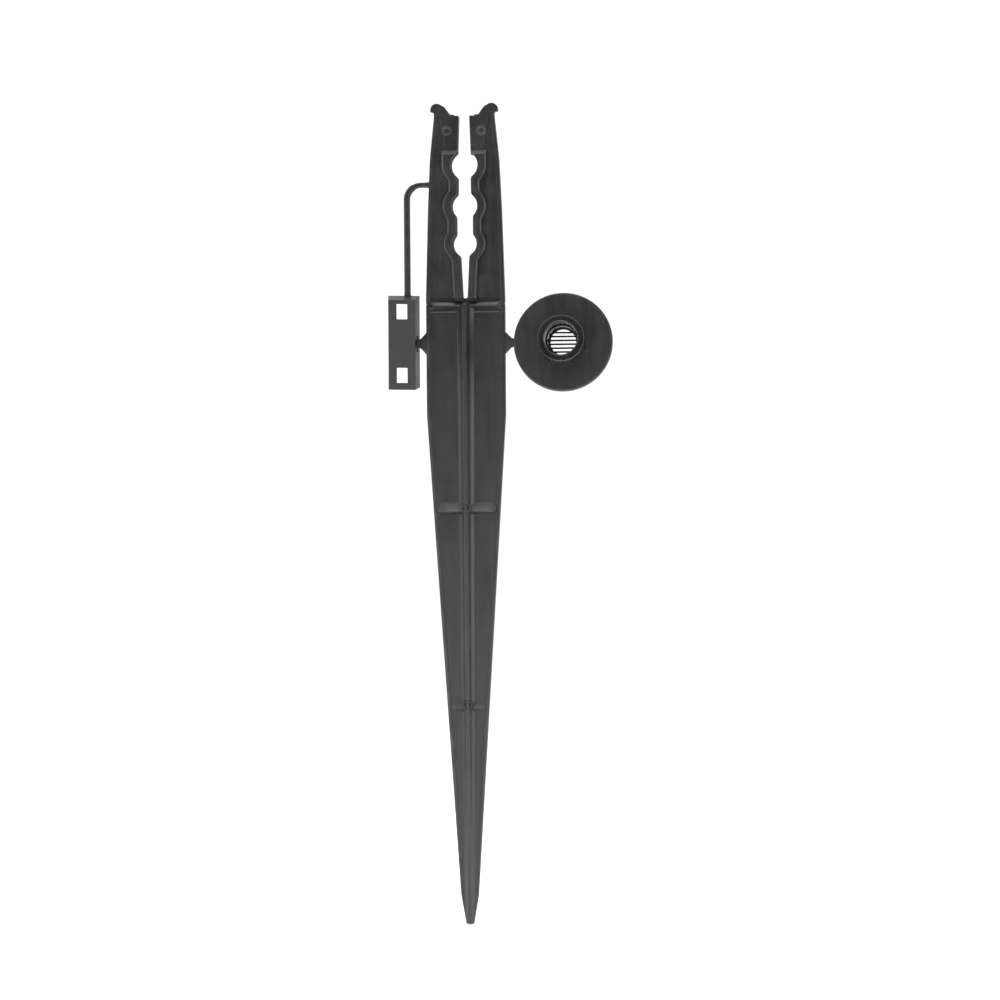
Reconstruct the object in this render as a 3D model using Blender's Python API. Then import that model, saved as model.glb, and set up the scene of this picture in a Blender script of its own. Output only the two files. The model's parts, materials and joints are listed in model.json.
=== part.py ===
"""Irrigation tubing stake with a sprung three-notch clip, a tethered locking bar and a snap-off bug cap.

The stake stands along +Z with the flat end of its point at the origin. Its front faces -Y, and the
mould's parting plane is y = 0. The whole object is one polypropylene moulding: each solid here is a
member of it that has its own job, with a hairline gap to its neighbours, and each member that flexes,
twists or snaps off can move.
"""

import math

import bpy
import bmesh
import numpy as np
from mathutils import Vector

MM = 0.001
GAP = 0.3 * MM

# The stake
LENGTH = 203.2 * MM
POINT_TOP = 7.2 * MM
POINT_TIP_HALF = 0.95 * MM
WAIST = 126.0 * MM
BLADE_HALF = 9.75 * MM
WEB = 1.0 * MM
ROOT = 155.2 * MM
EDGE_HEIGHTS = (0, POINT_TOP, WAIST, ROOT, 177.0 * MM, 189.0 * MM, 200.6 * MM)
EDGE_HALVES = (POINT_TIP_HALF, 2.15 * MM, BLADE_HALF, BLADE_HALF, 9.15 * MM, 8.6 * MM, 7.4 * MM)
POINT_NICK_SHARE = 0.45
SEAM = 0.2 * MM

# Spines and cross ribs, standing off the blade on both sides
SPINE_TOP = 153.4 * MM
SPINE_BASE = (1.35 * MM, 2.3 * MM)
SPINE_LAND = (0.45 * MM, 0.62 * MM)
SPINE_DEPTH = (1.95 * MM, 4.6 * MM)
CROSSED_RIBS = {"middle": (103.2 * MM, 7.2 * MM), "lower": (54.2 * MM, 4.1 * MM)}
UPPER_RIB_HALF_LENGTH = 8.8 * MM
UPPER_RIB_BASE = 1.2 * MM
UPPER_RIB_LAND = 0.7 * MM
RIB_BASE_HALF = 1.05 * MM
RIB_LAND_HALF = 0.45 * MM
RIB_SHARE = 0.5

# The clip: notches as (height of centre, radius), and the slot that joins them
NOTCHES = ((168.3 * MM, 3.17 * MM), (177.7 * MM, 3.36 * MM), (187.75 * MM, 3.5 * MM))
SLOT_HEIGHTS = (ROOT, 165.3 * MM, 170.0 * MM, 175.0 * MM, 180.0 * MM, 190.4 * MM, 200.1 * MM)
SLOT_HALVES = (0.78 * MM, 1.28 * MM, 2.22 * MM, 2.22 * MM, 1.82 * MM, 1.74 * MM, 1.38 * MM)
RIM_WIDTH = 2.1 * MM
RIM_TOP = 190.9 * MM
GRIP_HALF = 2.5 * MM
TIP_HALF = 1.2 * MM
SHELF = 200.1 * MM
HOOK_HEEL_X = 3.3 * MM
HOOK_BROW = (5.3 * MM, 202.5 * MM)
HOOK_ROUND = 1.5 * MM
HOOK_CENTRE = (6.9 * MM, LENGTH - HOOK_ROUND)
HOOK_NOSE = (8.2 * MM, 201.0 * MM)
HOOK_THROAT = (7.65 * MM, 200.75 * MM)
NECK_HEIGHTS = (200.4 * MM, 195.0 * MM)
JAW_HINGE_X = 5.1 * MM
JAW_STEPS = 60

# The tether and its bends
STRAP_HALF_WIDTH = 0.65 * MM
STRAP_HALF_DEPTH = 0.9 * MM
STRAP_X = -14.5 * MM
STRAP_ROOT = (-9.75 * MM, 183.1 * MM)
BEND_RADIUS = 3.6 * MM
FOLD_Z = 173.5 * MM
TWIST_Z = 165.0 * MM
TILT_Z = 158.0 * MM
KNUCKLE = 1.1 * MM

# The two snap-off tabs
TAB_Z = 143.8 * MM
TAB_BASE_HALF = 3.1 * MM
TAB_TIP_HALF = 1.1 * MM
TAB_HALF_DEPTH = 0.5 * MM
BAR_TAB_CLEAR = 1.0 * MM

# The locking bar, a tray that is open at the back, tilted forward on its tab
BAR_TURN = math.radians(8.5)
BAR_SWAY = math.radians(1.2)
BAR_X = -15.68 * MM
BAR_Z = TAB_Z + 0.3 * MM
BAR_FRONT_HALF = 3.33 * MM
BAR_BACK_HALF = 3.9 * MM
BAR_HALF_DEPTH = 2.4 * MM
BAR_HALF_HEIGHT = 11.5 * MM
BAR_WALL = 0.9 * MM
WINDOW_HALF = 1.42 * MM
WINDOW_RISE = (6.05 * MM, 9.8 * MM)
NECK_TOP = TILT_Z - 1.25 * MM
NECK_FOOT = 155.3 * MM
NECK_FOOT_HALF = 1.0 * MM

# The bug cap, twisted a little on its tab
CAP_TURN = math.radians(-6)
CAP_RADIUS = 12.2 * MM
CAP_EDGE_X = 11.95 * MM
FLANGE_FRONT = -0.6 * MM
FLANGE_BACK = 1.0 * MM
SOCKET_RADIUS = 5.8 * MM
SOCKET_LENGTH = 6.6 * MM
BORE = 3.2 * MM
MOUTH = 4.2 * MM
LEAD_IN = 2.6 * MM
CAP_SOFT_EDGE = 0.35 * MM
GRILLE_RADIUS = 4.6 * MM
GRILLE_THICK = 0.8 * MM
SLIT_PITCH = 0.965 * MM
SLIT_WIDTH = 0.55 * MM
SLITS = 7

# How far a cutter runs past what it cuts
PAST = 1 * MM

PLASTIC_SHADE = 0.03
CLIP_SHADE = 0.033
TETHER_SHADE = 0.028
CAP_SHADE = 0.031


def clear_scene():
    for thing in list(bpy.data.objects):
        bpy.data.objects.remove(thing, do_unlink=True)


def plastic(name, shade):
    """Satin black polypropylene."""
    material = bpy.data.materials.new(name)
    material.use_nodes = True
    shader = material.node_tree.nodes["Principled BSDF"]
    shader.inputs["Base Color"].default_value = (shade, shade, shade, 1)
    shader.inputs["Roughness"].default_value = 0.48
    shader.inputs["Metallic"].default_value = 0.0
    return material


def through_rings(name, rings, shade=PLASTIC_SHADE, origin=(0, 0, 0), closed=False):
    """A body through rings of points, capped at its ends, or with closed run back to the first ring."""
    body = bmesh.new()
    start = Vector(origin)
    rows = [[body.verts.new(Vector(point) - start) for point in ring] for ring in rings]
    pairs = list(zip(rows, rows[1:]))
    if closed:
        pairs.append((rows[-1], rows[0]))
    else:
        body.faces.new(rows[0])
        body.faces.new(rows[-1])
    for near, far in pairs:
        for i in range(len(near)):
            j = (i + 1) % len(near)
            body.faces.new((near[i], near[j], far[j], far[i]))
    bmesh.ops.recalc_face_normals(body, faces=body.faces)
    mesh = bpy.data.meshes.new(name)
    body.to_mesh(mesh)
    body.free()
    thing = bpy.data.objects.new(name, mesh)
    thing.location = start
    bpy.context.scene.collection.objects.link(thing)
    mesh.materials.append(plastic(name + "_plastic", shade))
    return thing


def plate(name, outline, front, back, **options):
    """A flat piece: an outline of (x, z) points, from y = front to y = back."""
    rings = [[(x, y, z) for x, z in outline] for y in (front, back)]
    return through_rings(name, rings, **options)


def block(name, low, high, **options):
    (x0, y0, z0), (x1, y1, z1) = low, high
    return plate(name, rectangle(x0, x1, z0, z1), y0, y1, **options)


def rectangle(x0, x1, z0, z1):
    return [(x0, z0), (x1, z0), (x1, z1), (x0, z1)]


def rounded(thing):
    """Smooth shading on curved faces, with the sharp edges kept."""
    thing.data.shade_smooth()
    thing.data.set_sharp_from_angle(angle=math.radians(30))


def boolean(thing, helper, operation="DIFFERENCE"):
    helper.hide_render = True
    helper.display_type = "WIRE"
    modifier = thing.modifiers.new(helper.name, "BOOLEAN")
    modifier.operation = operation
    modifier.object = helper


def arc(centre, radius, start, end, steps):
    """Points on an arc in the front view, with its angles in degrees, anticlockwise from +X."""
    angles = np.radians(np.linspace(start, end, steps + 1))
    return [(centre[0] + radius * math.cos(a), centre[1] + radius * math.sin(a)) for a in angles]


def edge_half(z):
    """Half the width of the stake's outline at a height."""
    return float(np.interp(z, EDGE_HEIGHTS, EDGE_HALVES))


def slot_reach(z, margin=0.0):
    """How far the slot, notches included, reaches from the centre line, grown by a margin."""
    reach = float(np.interp(z, SLOT_HEIGHTS, SLOT_HALVES)) + margin
    top_centre = NOTCHES[-1][0]
    for centre, radius in NOTCHES:
        rise = z - centre
        if margin and z > top_centre == centre:
            rise = 0.0
        if abs(rise) < radius + margin:
            reach = max(reach, math.sqrt((radius + margin) ** 2 - rise**2))
    return reach


def blend(ends, z):
    """The value at a height of something that tapers from the spine's foot to its top."""
    share = (z - POINT_TOP) / (SPINE_TOP - POINT_TOP)
    return ends[0] + (ends[1] - ends[0]) * share


def make_blade():
    low = POINT_TOP + GAP
    high = ROOT - SEAM
    heights = [low, WAIST, high]
    right = [(edge_half(z), z) for z in heights]
    left = [(-x, z) for x, z in reversed(right)]
    plate("blade", right + left, -WEB, WEB)


def make_point():
    rings = []
    for z, half in ((0.0, POINT_TIP_HALF), (POINT_TOP, edge_half(POINT_TOP))):
        depth = POINT_TIP_HALF if z == 0 else SPINE_DEPTH[0]
        nick = POINT_NICK_SHARE * POINT_TIP_HALF if z == 0 else WEB
        quarter = [(half, nick), (nick, depth)]
        ring = quarter
        ring = ring + [(-x, y) for x, y in reversed(quarter)]
        ring = ring + [(-x, -y) for x, y in quarter]
        ring = ring + [(x, -y) for x, y in reversed(quarter)]
        rings.append([(x, y, z) for x, y in ring])
    through_rings("spike_point", rings)


def rib_proud(z):
    """How far a cross rib stands off the blade: a share of the spine's own height there."""
    return RIB_SHARE * (blend(SPINE_DEPTH, z) - WEB - GAP)


def rib_rings(centre, half_length, face, margin):
    """A cross rib's rings from end to end; face is -1 on the front and 1 on the back."""
    base = face * (WEB + GAP - margin)
    land = face * (WEB + GAP + rib_proud(centre) + margin)
    section = [
        (base, centre - RIB_BASE_HALF - margin),
        (base, centre + RIB_BASE_HALF + margin),
        (land, centre + RIB_LAND_HALF + margin),
        (land, centre - RIB_LAND_HALF - margin),
    ]
    return [[(x, y, z) for y, z in section] for x in (-half_length, half_length)]


def make_spine(side, face):
    rings = []
    for z in (POINT_TOP + GAP, SPINE_TOP):
        base, land, depth = blend(SPINE_BASE, z), blend(SPINE_LAND, z), blend(SPINE_DEPTH, z)
        foot, crest = face * (WEB + GAP), face * depth
        rings.append([(-base, foot, z), (base, foot, z), (land, crest, z), (-land, crest, z)])
    spine = through_rings(side + "_spine", rings)
    for level, (centre, half_length) in CROSSED_RIBS.items():
        tunnel = through_rings(
            side + level + "_tunnel", rib_rings(centre, half_length, face, GAP)
        )
        boolean(spine, tunnel)
        through_rings(level + "_rib_" + side, rib_rings(centre, half_length, face, 0.0))


def make_upper_rib(side, face):
    """The highest rib closes the spine's end, so it stands just above it."""
    low = SPINE_TOP + GAP
    base, land = face * (WEB + GAP), face * (WEB + GAP + rib_proud(low))
    section = [(base, low), (base, low + UPPER_RIB_BASE), (land, low + UPPER_RIB_LAND), (land, low)]
    half = UPPER_RIB_HALF_LENGTH
    through_rings("upper_rib_" + side, [[(x, y, z) for y, z in section] for x in (-half, half)])


def jaw_heights(low, high):
    return [low + (high - low) * i / JAW_STEPS for i in range(JAW_STEPS + 1)]


def make_jaw(side, way):
    """A jaw's flat web, its thick grip along the notches, and its hooked tip; way is -1 on the left."""
    origin = (way * JAW_HINGE_X, 0, ROOT)
    options = {"shade": CLIP_SHADE, "origin": origin}
    low, high = ROOT + SEAM, RIM_TOP
    heights = jaw_heights(low, high)
    face = [(way * slot_reach(z), z) for z in heights]
    back = [(way * slot_reach(z, RIM_WIDTH), z) for z in reversed(heights)]
    rounded(plate(side + "_grip", face + back, -GRIP_HALF, GRIP_HALF, **options))
    inner = [(way * slot_reach(z, RIM_WIDTH + GAP), z) for z in heights]
    edge = [(way * edge_half(z), z) for z in (high, *reversed(EDGE_HEIGHTS[4:6]), low)]
    rounded(plate(side + "_jaw", inner + edge, -WEB, WEB, **options))
    foot = high + GAP
    hook = [
        (slot_reach(foot), foot),
        (SLOT_HALVES[-1], SHELF),
        (HOOK_HEEL_X, SHELF),
        HOOK_BROW,
    ]
    hook = hook + arc(HOOK_CENTRE, HOOK_ROUND, 110, 5, 6)
    hook = hook + [HOOK_NOSE, HOOK_THROAT]
    hook = hook + [(edge_half(z), z) for z in (*NECK_HEIGHTS, foot)]
    outline = [(way * x, z) for x, z in hook]
    rounded(plate(side + "_hook", outline, -TIP_HALF, TIP_HALF, **options))


def stadium(path, radius, end_steps=8):
    """The outline of a ribbon of the given half width along a path, round at both ends."""
    points = [Vector(p) for p in path]
    left, right = [], []
    for i, point in enumerate(points):
        ahead = points[min(i + 1, len(points) - 1)] - points[max(i - 1, 0)]
        across = Vector((-ahead.y, ahead.x)).normalized() * radius
        left.append(point + across)
        right.append(point - across)

    def cap(centre, start):
        turn = math.atan2(start.y - centre.y, start.x - centre.x)
        angles = [turn - math.pi * i / end_steps for i in range(1, end_steps)]
        return [centre + Vector((math.cos(a), math.sin(a))) * radius for a in angles]

    far = cap(points[-1], left[-1])
    near = cap(points[0], right[0])
    return [tuple(p) for p in left + far + right[::-1] + near]


def make_strap():
    x, root = STRAP_X, STRAP_ROOT
    turn_centre = (x + BEND_RADIUS, root[1] - BEND_RADIUS)
    path = [root] + arc(turn_centre, BEND_RADIUS, 90, 180, 10) + [(x, FOLD_Z)]
    depth = STRAP_HALF_DEPTH
    upper = plate(
        "strap_upper", stadium(path, STRAP_HALF_WIDTH), -depth, depth,
        shade=TETHER_SHADE, origin=(root[0], 0, root[1]),
    )
    rounded(upper)
    wide = STRAP_HALF_WIDTH
    middle = rectangle(x - wide, x + wide, TWIST_Z + GAP / 2, FOLD_Z - KNUCKLE)
    plate("strap_middle", middle, -depth, depth, shade=TETHER_SHADE, origin=(x, 0, FOLD_Z))
    profile = arc((0, TILT_Z), depth, 180, 360, 8)
    profile = profile + [(depth, TWIST_Z - GAP / 2), (-depth, TWIST_Z - GAP / 2)]
    rings = [[(x + shift, y, z) for y, z in profile] for shift in (-wide, wide)]
    lower = through_rings("strap_lower", rings, shade=TETHER_SHADE, origin=(x, 0, TWIST_Z))
    rounded(lower)


def tilted(point):
    """A point of the upright bar, leant sideways and then turned forward with the bar about its tab."""
    x, y, z = point
    side, rise = x - BAR_X, z - TAB_Z
    side, rise = side + rise * math.sin(BAR_SWAY), rise - side * math.sin(BAR_SWAY)
    ahead = y * math.cos(BAR_TURN) - rise * math.sin(BAR_TURN)
    return (BAR_X + side, ahead, TAB_Z + y * math.sin(BAR_TURN) + rise * math.cos(BAR_TURN))


def bar_half(y):
    """Half the bar's width, which grows with its draft from the front to the back."""
    share = (y + BAR_HALF_DEPTH) / (2 * BAR_HALF_DEPTH)
    return BAR_FRONT_HALF + (BAR_BACK_HALF - BAR_FRONT_HALF) * share


def bar_rings(front, back, half_height, inset):
    """Rings of the bar's drafted box from its bottom to its top, between two depths."""
    rings = []
    for z in (BAR_Z - half_height, BAR_Z + half_height):
        near, far = bar_half(front) - inset, bar_half(back) - inset
        section = [(-near, front), (near, front), (far, back), (-far, back)]
        rings.append([tilted((BAR_X + x, y, z)) for x, y in section])
    return rings


def make_bar():
    depth, wall = BAR_HALF_DEPTH, BAR_WALL
    origin = (STRAP_X, 0, TILT_Z)
    outside = bar_rings(-depth, depth, BAR_HALF_HEIGHT, 0.0)
    bar = through_rings("locking_bar", outside, shade=TETHER_SHADE, origin=origin)
    neck_section = [(NECK_FOOT, NECK_FOOT_HALF), (NECK_TOP, STRAP_HALF_WIDTH)]
    neck_side = [(STRAP_X + half, z) for z, half in neck_section]
    neck_side = neck_side + [(STRAP_X - half, z) for z, half in reversed(neck_section)]
    neck = plate("bar_neck", neck_side, -STRAP_HALF_DEPTH, STRAP_HALF_DEPTH)
    boolean(bar, neck, "UNION")
    inside = bar_rings(wall - depth, depth + PAST, BAR_HALF_HEIGHT - wall, wall)
    boolean(bar, through_rings("bar_cavity", inside))
    low, high = WINDOW_RISE
    for name, z0, z1 in (("upper", low, high), ("lower", -high, -low)):
        frame = rectangle(BAR_X - WINDOW_HALF, BAR_X + WINDOW_HALF, BAR_Z + z0, BAR_Z + z1)
        rings = [[tilted((x, y, z)) for x, z in frame] for y in (-depth - PAST, wall + PAST - depth)]
        boolean(bar, through_rings(name + "_window", rings))


def make_tab(name, base_x, tip_x):
    outline = [
        (base_x, TAB_Z - TAB_BASE_HALF), (tip_x, TAB_Z - TAB_TIP_HALF),
        (tip_x, TAB_Z + TAB_TIP_HALF), (base_x, TAB_Z + TAB_BASE_HALF),
    ]
    plate(name, outline, -TAB_HALF_DEPTH, TAB_HALF_DEPTH)


def turned(name, profile, segments=40):
    """A ring turned about the cap's axis from a closed profile of (radius, y) points."""
    centre_x = CAP_EDGE_X + CAP_RADIUS
    rings = []
    for i in range(segments):
        a = 2 * math.pi * i / segments
        rings.append([
            (centre_x + r * math.cos(a), y, TAB_Z + r * math.sin(a)) for r, y in profile
        ])
    ring = through_rings(
        name, rings, shade=CAP_SHADE, origin=(CAP_EDGE_X - GAP / 2, 0, TAB_Z), closed=True
    )
    ring.rotation_euler.x = CAP_TURN
    rounded(ring)
    return ring


def make_cap():
    recess = FLANGE_BACK - GRILLE_THICK - GAP
    seat = GRILLE_RADIUS + GAP
    soft = CAP_SOFT_EDGE
    turned("cap_flange", [
        (BORE, FLANGE_FRONT), (CAP_RADIUS - soft, FLANGE_FRONT), (CAP_RADIUS, FLANGE_FRONT + soft),
        (CAP_RADIUS, FLANGE_BACK - soft), (CAP_RADIUS - soft, FLANGE_BACK),
        (seat, FLANGE_BACK), (seat, recess), (BORE, recess),
    ])
    base = FLANGE_FRONT - GAP
    end = base - SOCKET_LENGTH
    turned("cap_socket", [
        (BORE, base), (BORE, end + LEAD_IN), (MOUTH, end), (SOCKET_RADIUS - soft, end),
        (SOCKET_RADIUS, end + soft), (SOCKET_RADIUS, base),
    ])
    centre_x = CAP_EDGE_X + CAP_RADIUS
    origin = (CAP_EDGE_X - GAP / 2, 0, TAB_Z)
    disc = arc((centre_x, TAB_Z), GRILLE_RADIUS, 0, 360, 32)[:-1]
    grille = plate(
        "cap_grille", disc, FLANGE_BACK - GRILLE_THICK, FLANGE_BACK, shade=CAP_SHADE, origin=origin
    )
    for row in range(SLITS):
        rise = (row - (SLITS - 1) / 2) * SLIT_PITCH
        reach = math.sqrt(BORE**2 - rise**2)
        slit = block(
            "slit_%d" % row,
            (centre_x - reach, FLANGE_FRONT - PAST, TAB_Z + rise - SLIT_WIDTH / 2),
            (centre_x + reach, FLANGE_BACK + PAST, TAB_Z + rise + SLIT_WIDTH / 2),
            origin=origin,
        )
        slit.rotation_euler.x = CAP_TURN
        boolean(grille, slit)
    grille.rotation_euler.x = CAP_TURN
    rounded(grille)


clear_scene()
make_blade()
make_point()
for side, face in (("front", -1), ("back", 1)):
    make_spine(side, face)
    make_upper_rib(side, face)
for side, way in (("left", -1), ("right", 1)):
    make_jaw(side, way)
make_strap()
make_bar()
make_tab("bar_tab", -(edge_half(TAB_Z) + GAP), BAR_X + bar_half(0) + BAR_TAB_CLEAR)
make_tab("cap_tab", edge_half(TAB_Z) + GAP, CAP_EDGE_X - GAP)
make_cap()
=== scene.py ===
"""The looks of a drip-irrigation tubing stake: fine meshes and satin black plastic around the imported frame.

Everything is in metres in the frame's own axes: +Z up the stake, the front towards -Y. The stake, its two
sprung jaws, the tether, the locking bar and the bug cap are one moulding, so pieces run into each other
without seams.
"""

import json
import math

import bmesh
import bpy
import numpy as np
from mathutils import Matrix, Vector


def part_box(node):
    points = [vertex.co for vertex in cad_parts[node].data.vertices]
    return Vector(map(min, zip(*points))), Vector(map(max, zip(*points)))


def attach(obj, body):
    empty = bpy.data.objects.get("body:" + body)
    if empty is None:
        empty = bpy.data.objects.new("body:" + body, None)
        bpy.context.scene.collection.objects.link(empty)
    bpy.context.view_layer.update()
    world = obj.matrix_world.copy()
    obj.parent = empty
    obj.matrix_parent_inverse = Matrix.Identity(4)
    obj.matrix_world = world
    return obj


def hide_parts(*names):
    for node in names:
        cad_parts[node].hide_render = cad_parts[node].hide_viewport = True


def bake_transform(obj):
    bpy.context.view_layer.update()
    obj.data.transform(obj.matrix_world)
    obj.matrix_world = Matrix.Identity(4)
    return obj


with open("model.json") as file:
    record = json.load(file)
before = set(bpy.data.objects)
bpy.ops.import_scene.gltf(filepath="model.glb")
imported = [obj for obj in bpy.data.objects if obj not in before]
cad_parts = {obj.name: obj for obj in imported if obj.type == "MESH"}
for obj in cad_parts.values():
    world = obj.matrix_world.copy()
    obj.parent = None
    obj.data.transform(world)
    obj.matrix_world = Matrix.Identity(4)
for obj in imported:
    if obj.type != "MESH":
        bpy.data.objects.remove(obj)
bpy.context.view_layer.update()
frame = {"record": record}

MM = 0.001


def middle(node):
    low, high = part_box(node)
    return (low + high) / 2


def half_size(node):
    low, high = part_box(node)
    return (high - low) / 2


def joint_at(name):
    """A joint's place at rest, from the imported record."""
    joints = frame["record"]["behaviour"]["joints"]
    return Vector(next(joint["pos_m"] for joint in joints if joint["name"] == name))


# The stake's outline and section. What the frame states is read from it, and finer sizes are given here.
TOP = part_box("left_hook")[1].z
POINT_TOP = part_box("spike_point")[1].z
BLADE_HALF = half_size("blade").x
WEB = half_size("blade").y
ROOT = joint_at("left_jaw_flex").z
WAIST = 126.0 * MM
EDGE_HEIGHTS = (0, POINT_TOP, WAIST, ROOT, 177.0 * MM, 189.0 * MM, 200.6 * MM)
EDGE_HALVES = (
    1.0 * MM, 2.2 * MM, BLADE_HALF + 0.08 * MM, BLADE_HALF + 0.1 * MM, 9.2 * MM, 8.65 * MM, 7.45 * MM,
)
SPINE_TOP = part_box("front_spine")[1].z
SPINE_BASE = (1.2 * MM, 2.05 * MM)
SPINE_LAND = (0.36 * MM, 0.45 * MM)
SPINE_DEPTH = (1.95 * MM, half_size("front_spine").y + abs(middle("front_spine").y))
TIP_HALF = 0.95 * MM
BORDER = 0.72 * MM
BORDER_STEP = 0.14 * MM

# The clip
NOTCHES = ((168.3 * MM, 3.1 * MM), (177.7 * MM, 3.31 * MM), (187.8 * MM, 3.44 * MM))
SLOT_HEIGHTS = (ROOT, 165.3 * MM, 170.0 * MM, 175.0 * MM, 180.0 * MM, 190.4 * MM, 200.1 * MM)
SLOT_HALVES = (0.75 * MM, 1.25 * MM, 2.18 * MM, 2.18 * MM, 1.78 * MM, 1.68 * MM, 1.3 * MM)
RIM_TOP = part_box("left_grip")[1].z
RIM_HALF = half_size("left_grip").y
RIM_FOOT = 2.3 * MM
RIM_CREST = 1.5 * MM
SHELF = 200.1 * MM
CREVICE = (154.15 * MM, 154.85 * MM)
CREVICE_DEPTH = 0.25 * MM
TIP_FACE = 1.2 * MM
MARK_RADIUS, MARK_WIDTH, MARK_HEIGHT = 1.25 * MM, 0.72 * MM, 0.12 * MM

# The tether, the bar, the tabs and the cap
STRAP_X = joint_at("strap_fold").x
STRAP_ROOT = joint_at("strap_root_bend")
STRAP_BEND = 3.6 * MM
STRAP_WIDE, STRAP_DEEP = 0.77 * MM, 0.82 * MM
TAB_Z = middle("bar_tab").z
BAR_X = STRAP_X - 1.24 * MM
BAR_Z = TAB_Z + 0.3 * MM
BAR_DEPTH = 2.4 * MM
BAR_TALL = 11.5 * MM
BAR_FRONT, BAR_BACK = 3.36 * MM, 3.92 * MM
BAR_WALL = 0.9 * MM
WINDOW_HALF = 1.33 * MM
WINDOW_RISE = (6.05 * MM, 9.8 * MM)
BAR_TOP_SLOPE = 0.6 * MM
TAB_SLOT = (0.8 * MM, 1.95 * MM)
BAR_TURN = math.radians(8.5)
BAR_SWAY = math.radians(1.2)
TAB_ROOT_X = 9.5 * MM
CAP_TURN = math.radians(-6)
CAP_RADIUS = half_size("cap_flange").x
CAP_X = middle("cap_flange").x

QUARTER = math.radians(90)
TURN_STEPS = 96


# ---------------------------------------------------------------- plastic

def new_node(tree, kind, **settings):
    node = tree.nodes.new(kind)
    for key, value in settings.items():
        setattr(node, key, value)
    return node


def noise(tree, vector, scale, detail=4.0, rough=0.55):
    node = new_node(tree, "ShaderNodeTexNoise")
    node.inputs["Scale"].default_value = scale
    node.inputs["Detail"].default_value = detail
    node.inputs["Roughness"].default_value = rough
    tree.links.new(vector, node.inputs["Vector"])
    return node.outputs["Fac"]


def remap(tree, value, low, high, to_low, to_high):
    node = new_node(tree, "ShaderNodeMapRange")
    for socket, number in zip(("From Min", "From Max", "To Min", "To Max"), (low, high, to_low, to_high)):
        node.inputs[socket].default_value = number
    tree.links.new(value, node.inputs["Value"])
    return node.outputs["Result"]


def combine(tree, operation, first, second):
    node = new_node(tree, "ShaderNodeMath", operation=operation)
    for socket, value in zip(node.inputs, (first, second)):
        if isinstance(value, (int, float)):
            socket.default_value = value
        else:
            tree.links.new(value, socket)
    return node.outputs["Value"]


def stretched(tree, across, along):
    """Object coordinates scaled so that noise runs in streaks along Z."""
    coordinates = new_node(tree, "ShaderNodeTexCoord")
    mapping = new_node(tree, "ShaderNodeMapping")
    mapping.inputs["Scale"].default_value = (across, across, along)
    tree.links.new(coordinates.outputs["Object"], mapping.inputs["Vector"])
    return mapping.outputs["Vector"]


def moulded_plastic(name, shade, rough, grain=0.06, gloss=0.5, painted_light_lift=0.0):
    """Black polypropylene: cloudy pigment, flow streaks, a fine eroded grain, pale scuffed edges and dust.

    The last argument sets a painted light: how much paler the colour is painted from the spine's top down to
    the point, in place of the brighter light on the lower stake."""
    material = bpy.data.materials.new(name)
    material.use_nodes = True
    tree = material.node_tree
    shader = tree.nodes["Principled BSDF"]
    shader.inputs["Metallic"].default_value = 0.0
    shader.inputs["IOR"].default_value = 1.49
    shader.inputs["Specular IOR Level"].default_value = gloss
    plain = stretched(tree, 1.0, 1.0)
    streaked = stretched(tree, 1.0, 0.06)
    clouds = noise(tree, plain, 170.0)
    flow = noise(tree, streaked, 900.0, detail=3.0)
    specks = noise(tree, plain, 5200.0, detail=2.0)
    fine = noise(tree, plain, 9500.0, detail=3.0, rough=0.6)
    dents = noise(tree, plain, 620.0, detail=2.0)
    geometry = new_node(tree, "ShaderNodeNewGeometry")
    edges = remap(tree, geometry.outputs["Pointiness"], 0.52, 0.60, 0.0, 1.0)
    scuffed = combine(tree, "MULTIPLY", edges, remap(tree, clouds, 0.42, 0.62, 0.15, 1.0))

    mottle = remap(tree, clouds, 0.3, 0.7, 0.86, 1.12)
    streaks = remap(tree, flow, 0.3, 0.7, -0.16, 0.16)
    tone = combine(tree, "ADD", mottle, streaks)
    dusty = remap(tree, specks, 0.66, 0.78, 0.0, 0.35)
    tone = combine(tree, "ADD", tone, combine(tree, "ADD", dusty, combine(tree, "MULTIPLY", scuffed, 0.9)))
    height_up = new_node(tree, "ShaderNodeSeparateXYZ")
    tree.links.new(plain, height_up.inputs["Vector"])
    # Painted light: the colour is paler towards the point, standing in for the brighter light on the lower
    # stake.
    painted_light_ramp = remap(tree, height_up.outputs["Z"], 0.0, SPINE_TOP, 1.0 + painted_light_lift, 1.0)
    tone = combine(tree, "MULTIPLY", combine(tree, "MULTIPLY", tone, painted_light_ramp), shade)
    colour = new_node(tree, "ShaderNodeCombineColor")
    for channel, tint in (("Red", 1.0), ("Green", 1.0), ("Blue", 1.015)):
        tree.links.new(combine(tree, "MULTIPLY", tone, tint), colour.inputs[channel])
    tree.links.new(colour.outputs["Color"], shader.inputs["Base Color"])

    dull = combine(tree, "ADD", remap(tree, clouds, 0.3, 0.7, rough - 0.05, rough + 0.05),
                   remap(tree, flow, 0.3, 0.7, -0.03, 0.04))
    dull = combine(tree, "ADD", dull, combine(tree, "MULTIPLY", scuffed, 0.08))
    tree.links.new(dull, shader.inputs["Roughness"])

    height = combine(tree, "ADD", combine(tree, "MULTIPLY", fine, 0.5), combine(tree, "MULTIPLY", dents, 1.2))
    height = combine(tree, "ADD", height, combine(tree, "MULTIPLY", flow, 0.5))
    bump = new_node(tree, "ShaderNodeBump")
    bump.inputs["Strength"].default_value = grain
    bump.inputs["Distance"].default_value = 0.06 * MM
    tree.links.new(height, bump.inputs["Height"])
    tree.links.new(bump.outputs["Normal"], shader.inputs["Normal"])
    return material


# The stake's colour carries painted light: it is paler towards the point.
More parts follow.
